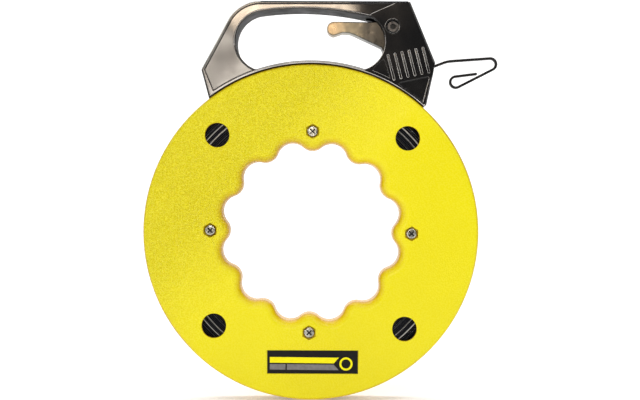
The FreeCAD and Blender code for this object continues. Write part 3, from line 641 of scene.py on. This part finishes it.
# The ribs' sloping sides and ends get the same painted highlight.
paint_crest_highlight(ribs, -1, crest_highlight, low=0.6, high=0.8, lowest=-2)


# Drawing tape: one flat strip of blued spring steel, about fifteen metres of it, wound in
# twenty uneven turns inside the case. It is drawn as a spiral, pulled to the strip's width and thickened.
TURNS = 20
STEPS = 120
FIRST_TURN = 105.0
TURN_PITCH = 1.6
STRIP_WIDTH = 3.2
STRIP_THICKNESS = 1.5
STRIP_EDGE = 0.3


def wound_tape():
    """The strip's turns, each at a slightly different depth and spacing; it replaces the plain coil."""
    random.seed(11)
    depths = [-11.6 + random.random() * 3.4 for _ in range(TURNS + 2)]
    drifts = [random.uniform(-0.04, 0.04) for _ in range(TURNS + 2)]
    bpy.ops.object.select_all(action="DESELECT")
    bpy.ops.mesh.primitive_circle_add(vertices=TURNS * STEPS + 1, fill_type="NOTHING")
    tape = bpy.context.object
    tape.name = "wound_tape"
    for k, vertex in enumerate(tape.data.vertices):
        turn, part = divmod(k / STEPS, 1)
        turn, ease = int(turn), part * part * (3 - 2 * part)
        radius = FIRST_TURN + TURN_PITCH * k / STEPS
        radius += drifts[turn] * (1 - ease) + drifts[turn + 1] * ease
        depth = depths[turn] * (1 - ease) + depths[turn + 1] * ease
        angle = 2 * math.pi * k / STEPS
        vertex.co = Vector((radius * math.cos(angle), depth, radius * math.sin(angle))) / 1000
    bpy.ops.object.mode_set(mode="EDIT")
    bpy.ops.mesh.select_mode(type="EDGE")
    bpy.ops.mesh.select_all(action="DESELECT")
    mesh = bmesh.from_edit_mesh(tape.data)
    # the circle's last edge jumps from the outer end to the inner one
    for edge in mesh.edges:
        edge.select = edge.calc_length() > 0.02
    bmesh.update_edit_mesh(tape.data)
    bpy.ops.mesh.delete(type="EDGE")
    bpy.ops.mesh.select_all(action="SELECT")
    bpy.ops.mesh.extrude_region_move(TRANSFORM_OT_translate={"value": (0, STRIP_WIDTH / 1000, 0)})
    bpy.ops.object.mode_set(mode="OBJECT")
    thick = tape.modifiers.new("thick", "SOLIDIFY")
    thick.thickness, thick.offset = STRIP_THICKNESS / 1000, 0
    bpy.ops.object.modifier_apply(modifier="thick")
    bpy.ops.object.mode_set(mode="EDIT")
    bpy.ops.mesh.select_all(action="SELECT")
    bpy.ops.mesh.normals_make_consistent(inside=False)
    bpy.ops.object.mode_set(mode="OBJECT")
    eased = tape.modifiers.new("eased", "BEVEL")
    eased.width, eased.segments, eased.limit_method = STRIP_EDGE / 1000, 2, "ANGLE"
    eased.angle_limit = math.radians(60)
    bpy.ops.object.modifier_apply(modifier="eased")
    bpy.ops.object.shade_smooth_by_angle(angle=math.radians(40))
    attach(tape, nodes["tape_coil"]["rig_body"])
    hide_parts("tape_coil")
    return tape


def blued_steel():
    """Dark steel with brighter streaks that follow the strip's turns: a painted highlight for the turns'
    edges that catch the light.
    """
    made, tree, shader = material("tape_blued_steel", (0.03, 0.033, 0.04), 0.32, 1.0)
    place = tree.nodes.new("ShaderNodeTexCoord")
    flat = tree.nodes.new("ShaderNodeMapping")
    flat.inputs["Scale"].default_value = (1, 0, 1)
    reach = tree.nodes.new("ShaderNodeVectorMath")
    reach.operation = "LENGTH"
    rings = tree.nodes.new("ShaderNodeTexNoise")
    rings.noise_dimensions = "1D"
    rings.inputs["Scale"].default_value = 430
    rings.inputs["Detail"].default_value = 1
    tree.links.new(place.outputs["Object"], flat.inputs["Vector"])
    tree.links.new(flat.outputs["Vector"], reach.inputs[0])
    tree.links.new(reach.outputs["Value"], rings.inputs["W"])
    # The brighter rings along the turns are a painted highlight.
    painted_highlight = ramp(tree, rings.outputs["Fac"], (0.010, 0.011, 0.014), (0.42, 0.42, 0.40), (0.66, 0.71))
    tree.links.new(painted_highlight, shader.inputs["Base Color"])
    scuffs = object_noise(tree, 240, 3)
    tree.links.new(ramp(tree, scuffs, grey(0.24), grey(0.42)), shader.inputs["Roughness"])
    return made


dress(wound_tape(), blued_steel())


# Label: a black printed plate let into the front half, with one yellow bar, two grey bars and a plain
# ring. The printing is modelled as thin raised ink, turned a little about the plate's middle as it is.
label_low, label_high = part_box("label_plate")
label_middle = [millimetres((label_low[k] + label_high[k]) / 2) for k in (0, 2)]
LABEL_TURN = -0.6
INK_FRONT, INK_REAR = -16.12, -16.05
RING_MIDDLE = (31.4, -117.4)
RING_OUTER, RING_INNER = 5.9, 4.1


def turned_on_label(points):
    """Points of the front view, turned about the label's middle."""
    across, up = label_middle
    c, s = unit(LABEL_TURN)
    return [(across + (x - across) * c - (z - up) * s, up + (x - across) * s + (z - up) * c)
            for x, z in points]


def label_plate_of(outline, front, rear):
    """A closed plate on the label, between two depths."""
    plate = thick_plate(turned_on_label(outline), front, rear)
    bpy.ops.object.mode_set(mode="OBJECT")
    return plate


def ring_outline(radius):
    """A circle about the ring's middle, with its joint left to the closing edge."""
    return arc(RING_MIDDLE, radius, 0, 352.5, 47)


def ink(name, outline, made):
    """One printed patch, which rides with the label."""
    patch = label_plate_of(outline, INK_FRONT, INK_REAR)
    patch.name = name
    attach(patch, nodes["label_plate"]["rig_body"])
    dress(patch, made)
    return patch


def printed(name, low, high, roughness):
    """Printed film or ink with a slight unevenness."""
    made, tree, shader = material(name, high, roughness)
    tree.links.new(ramp(tree, object_noise(tree, 320, 3), low, high), shader.inputs["Base Color"])
    bump_from(tree, shader, object_noise(tree, 900, 1), 0.1, 0.0003)
    shader.inputs["Specular IOR Level"].default_value = 0.2
    return made


label_black = printed("label_black_film", (0.003, 0.003, 0.0035), (0.007, 0.006, 0.008), 0.5)
refinish(label_black, "label_plate")
ink_yellow = printed("label_yellow_ink", (0.93, 0.84, 0.004), (1.0, 0.92, 0.006), 0.45)
ink_grey = printed("label_grey_ink", (0.17, 0.165, 0.18), (0.23, 0.225, 0.24), 0.45)
ink("label_bar_yellow", [(-36.6, -111.9), (-36.6, -117.0), (20.6, -117.0), (25.0, -111.9)], ink_yellow)
ink("label_bar_left", [(-36.6, -118.1), (-36.6, -123.1), (-22.6, -123.1), (-22.6, -118.1)], ink_grey)
ink("label_bar_right", [(-21.3, -118.1), (-21.3, -123.1), (25.0, -123.1), (20.4, -118.1)], ink_grey)
ring = ink("label_ring", ring_outline(RING_OUTER), ink_yellow)
carve(ring, label_plate_of(ring_outline(RING_INNER), -16.2, -16.0))


# Grip lever: a die-cast arm with a bronze lacquer, its edges eased by tumbling.
# It turns on the bolt in the head and its far end carries the brake pads.
LEVER_EDGE = 0.9
LEVER_FACE = 7
# the stretch of x, in metres, over which the lacquer's tone changes as a painted reflection, and each
# tone's share of the way
LEVER_START, LEVER_END = 0.012, 0.088
LEVER_REFLECTION_TONES = ((0.0, (0.36, 0.27, 0.165)), (0.30, (0.20, 0.18, 0.13)), (0.52, (0.085, 0.08, 0.07)),
               (0.72, (0.045, 0.042, 0.036)), (0.88, (0.2, 0.16, 0.115)), (1.0, (0.12, 0.10, 0.07)))


def bronze_with_painted_reflection():
    """A bronze lacquer whose tone changes along the arm: the changes are a painted reflection."""
    made, tree, shader = material("lever_bronze_lacquer", (0.30, 0.23, 0.15), 0.3, 0.85)
    place = tree.nodes.new("ShaderNodeTexCoord")
    along = tree.nodes.new("ShaderNodeSeparateXYZ")
    tree.links.new(place.outputs["Object"], along.inputs["Vector"])
    reach = tree.nodes.new("ShaderNodeMapRange")
    reach.inputs["From Min"].default_value = LEVER_START
    reach.inputs["From Max"].default_value = LEVER_END
    tree.links.new(along.outputs["X"], reach.inputs["Value"])
    tone = tree.nodes.new("ShaderNodeValToRGB")
    tone.color_ramp.elements[0].color = (*LEVER_REFLECTION_TONES[0][1], 1)
    tone.color_ramp.elements[1].color = (*LEVER_REFLECTION_TONES[-1][1], 1)
    for spot, colour in LEVER_REFLECTION_TONES[1:-1]:
        tone.color_ramp.elements.new(spot).color = (*colour, 1)
    tree.links.new(reach.outputs["Result"], tone.inputs["Fac"])
    tree.links.new(tone.outputs["Color"], shader.inputs["Base Color"])
    polish = ramp(tree, object_noise(tree, 160, 3), grey(0.24), grey(0.38))
    tree.links.new(polish, shader.inputs["Roughness"])
    bump_from(tree, shader, object_noise(tree, 60, 2), 0.3, 0.0015)
    return made


lever = joined_copy("grip_lever")
soften(lever, LEVER_EDGE, 4, lambda middle, edge: abs(abs(middle.y) - LEVER_FACE) < 0.05)
shade(lever)
dress(lever, bronze_with_painted_reflection())


# Metal fittings: zinc-plated case screws and nuts, blackened handle screws and pivot bolt, a brass bush,
# a bright spring, and the steel clip and guide that hold the tape. They keep their CAD shapes.
SCREW_CIRCLE = 90
SCREW_ANGLES = (-1, 89, 179, 269)
PIVOT = (73.4, 183.6)
FRONT_HEADS = 8


def plated(name, low, high, rough_low, rough_high, scale=300, stretch=(1, 1, 1)):
    """A metal whose tone and polish vary a little over its surface."""
    made, tree, shader = material(name, high, rough_high, 1.0)
    tone = ramp(tree, object_noise(tree, scale, 3, stretch), low, high)
    tree.links.new(tone, shader.inputs["Base Color"])
    brushed = object_noise(tree, scale * 3, 2, stretch)
    tree.links.new(ramp(tree, brushed, grey(rough_low), grey(rough_high)), shader.inputs["Roughness"])
    bump_from(tree, shader, brushed, 0.15, 0.0003)
    return made


def painted_recess_shade():
    """A dark tone for a driver recess: painted shade inside it."""
    made, tree, shader = material("painted_recess_shade", (0.01, 0.01, 0.009), 0.6)
    tone = ramp(tree, object_noise(tree, 700, 2), grey(0.005), grey(0.03))
    tree.links.new(tone, shader.inputs["Base Color"])
    return made


def paint_recess_shade(name, floor, reach, made, axes):
    """Lays the dark tone, painted shade, in a front fastener's socket or cross: near its axis, under its
    top.
    """
    piece = nodes[name]
    piece.data.materials.append(made)
    for face in piece.data.polygons:
        x, depth, z = millimetres(face.center)
        near_axis = min(math.hypot(x - axis[0], z - axis[1]) for axis in axes) < reach
        if near_axis and -floor < depth < -FRONT_HEADS:
            face.material_index = len(piece.data.materials) - 1


zinc = plated("zinc_plate", (0.22, 0.22, 0.19), (0.62, 0.62, 0.57), 0.18, 0.36)
oxide = plated("black_oxide", (0.04, 0.04, 0.042), (0.14, 0.14, 0.144), 0.25, 0.4)
brass = plated("turned_brass", (0.55, 0.38, 0.13), (0.72, 0.52, 0.22), 0.2, 0.35, 200, (1, 6, 1))
spring_steel = plated("bright_spring_steel", (0.45, 0.45, 0.46), (0.65, 0.65, 0.66), 0.18, 0.3)
pressed = plated("pressed_steel", (0.18, 0.18, 0.19), (0.34, 0.34, 0.35), 0.3, 0.5)
refinish(zinc, "case_screws", "case_nuts", "lever_pivot_nut")
refinish(oxide, "handle_screws", "lever_pivot_bolt")
refinish(brass, "lever_bush")
refinish(spring_steel, "lever_spring")
refinish(pressed, "tape_anchor", "tape_guide")
recess_shade = painted_recess_shade()
screw_axes = [tuple(unit(angle) * SCREW_CIRCLE) for angle in SCREW_ANGLES]
# The screws' crosses and the bolt's socket get painted shade.
paint_recess_shade("case_screws", 15.3, 3.4, recess_shade, screw_axes)
paint_recess_shade("lever_pivot_bolt", 15.2, 3.1, recess_shade, [PIVOT])


# Rim shoes and brake pads: two curved shoes of natural nylon, keyed into the handle, which the case
# turns in, and two blocks of black rubber under the lever's fork. They keep their CAD shapes.
def nylon():
    """Milky nylon that light enters a little."""
    made, tree, shader = material("natural_nylon", (0.66, 0.63, 0.55), 0.5)
    tone = ramp(tree, object_noise(tree, 90, 3), (0.58, 0.55, 0.47), (0.70, 0.67, 0.60))
    tree.links.new(tone, shader.inputs["Base Color"])
    bump_from(tree, shader, object_noise(tree, 500, 2), 0.15, 0.0004)
    shader.inputs["Subsurface Weight"].default_value = 0.1
    shader.inputs["Subsurface Radius"].default_value = (0.003, 0.0025, 0.002)
    return made


def brake_rubber():
    """Dull black rubber."""
    made, tree, shader = material("brake_rubber", (0.02, 0.02, 0.02), 0.75)
    tone = ramp(tree, object_noise(tree, 400, 4), (0.012, 0.012, 0.012), (0.035, 0.034, 0.033))
    tree.links.new(tone, shader.inputs["Base Color"])
    bump_from(tree, shader, object_noise(tree, 900, 3), 0.4, 0.0005)
    return made


refinish(nylon(), "rim_shoe_left", "rim_shoe_right")
refinish(brake_rubber(), "brake_pads")


# Tape's free end: the same steel strip, bent back on itself into a closed hook.
# It slides through the guide in the handle's nose and keeps its CAD shape.
def hook_steel():
    """Nearly black oiled steel."""
    made, tree, shader = material("hook_black_steel", (0.008, 0.008, 0.009), 0.3)
    tone = ramp(tree, object_noise(tree, 180, 3), (0.004, 0.004, 0.005), grey(0.02), (0.4, 0.75))
    tree.links.new(tone, shader.inputs["Base Color"])
    polish = ramp(tree, object_noise(tree, 500, 2), grey(0.25), grey(0.45))
    tree.links.new(polish, shader.inputs["Roughness"])
    shader.inputs["Specular IOR Level"].default_value = 0.25
    return made


refinish(hook_steel(), "tape_leader")
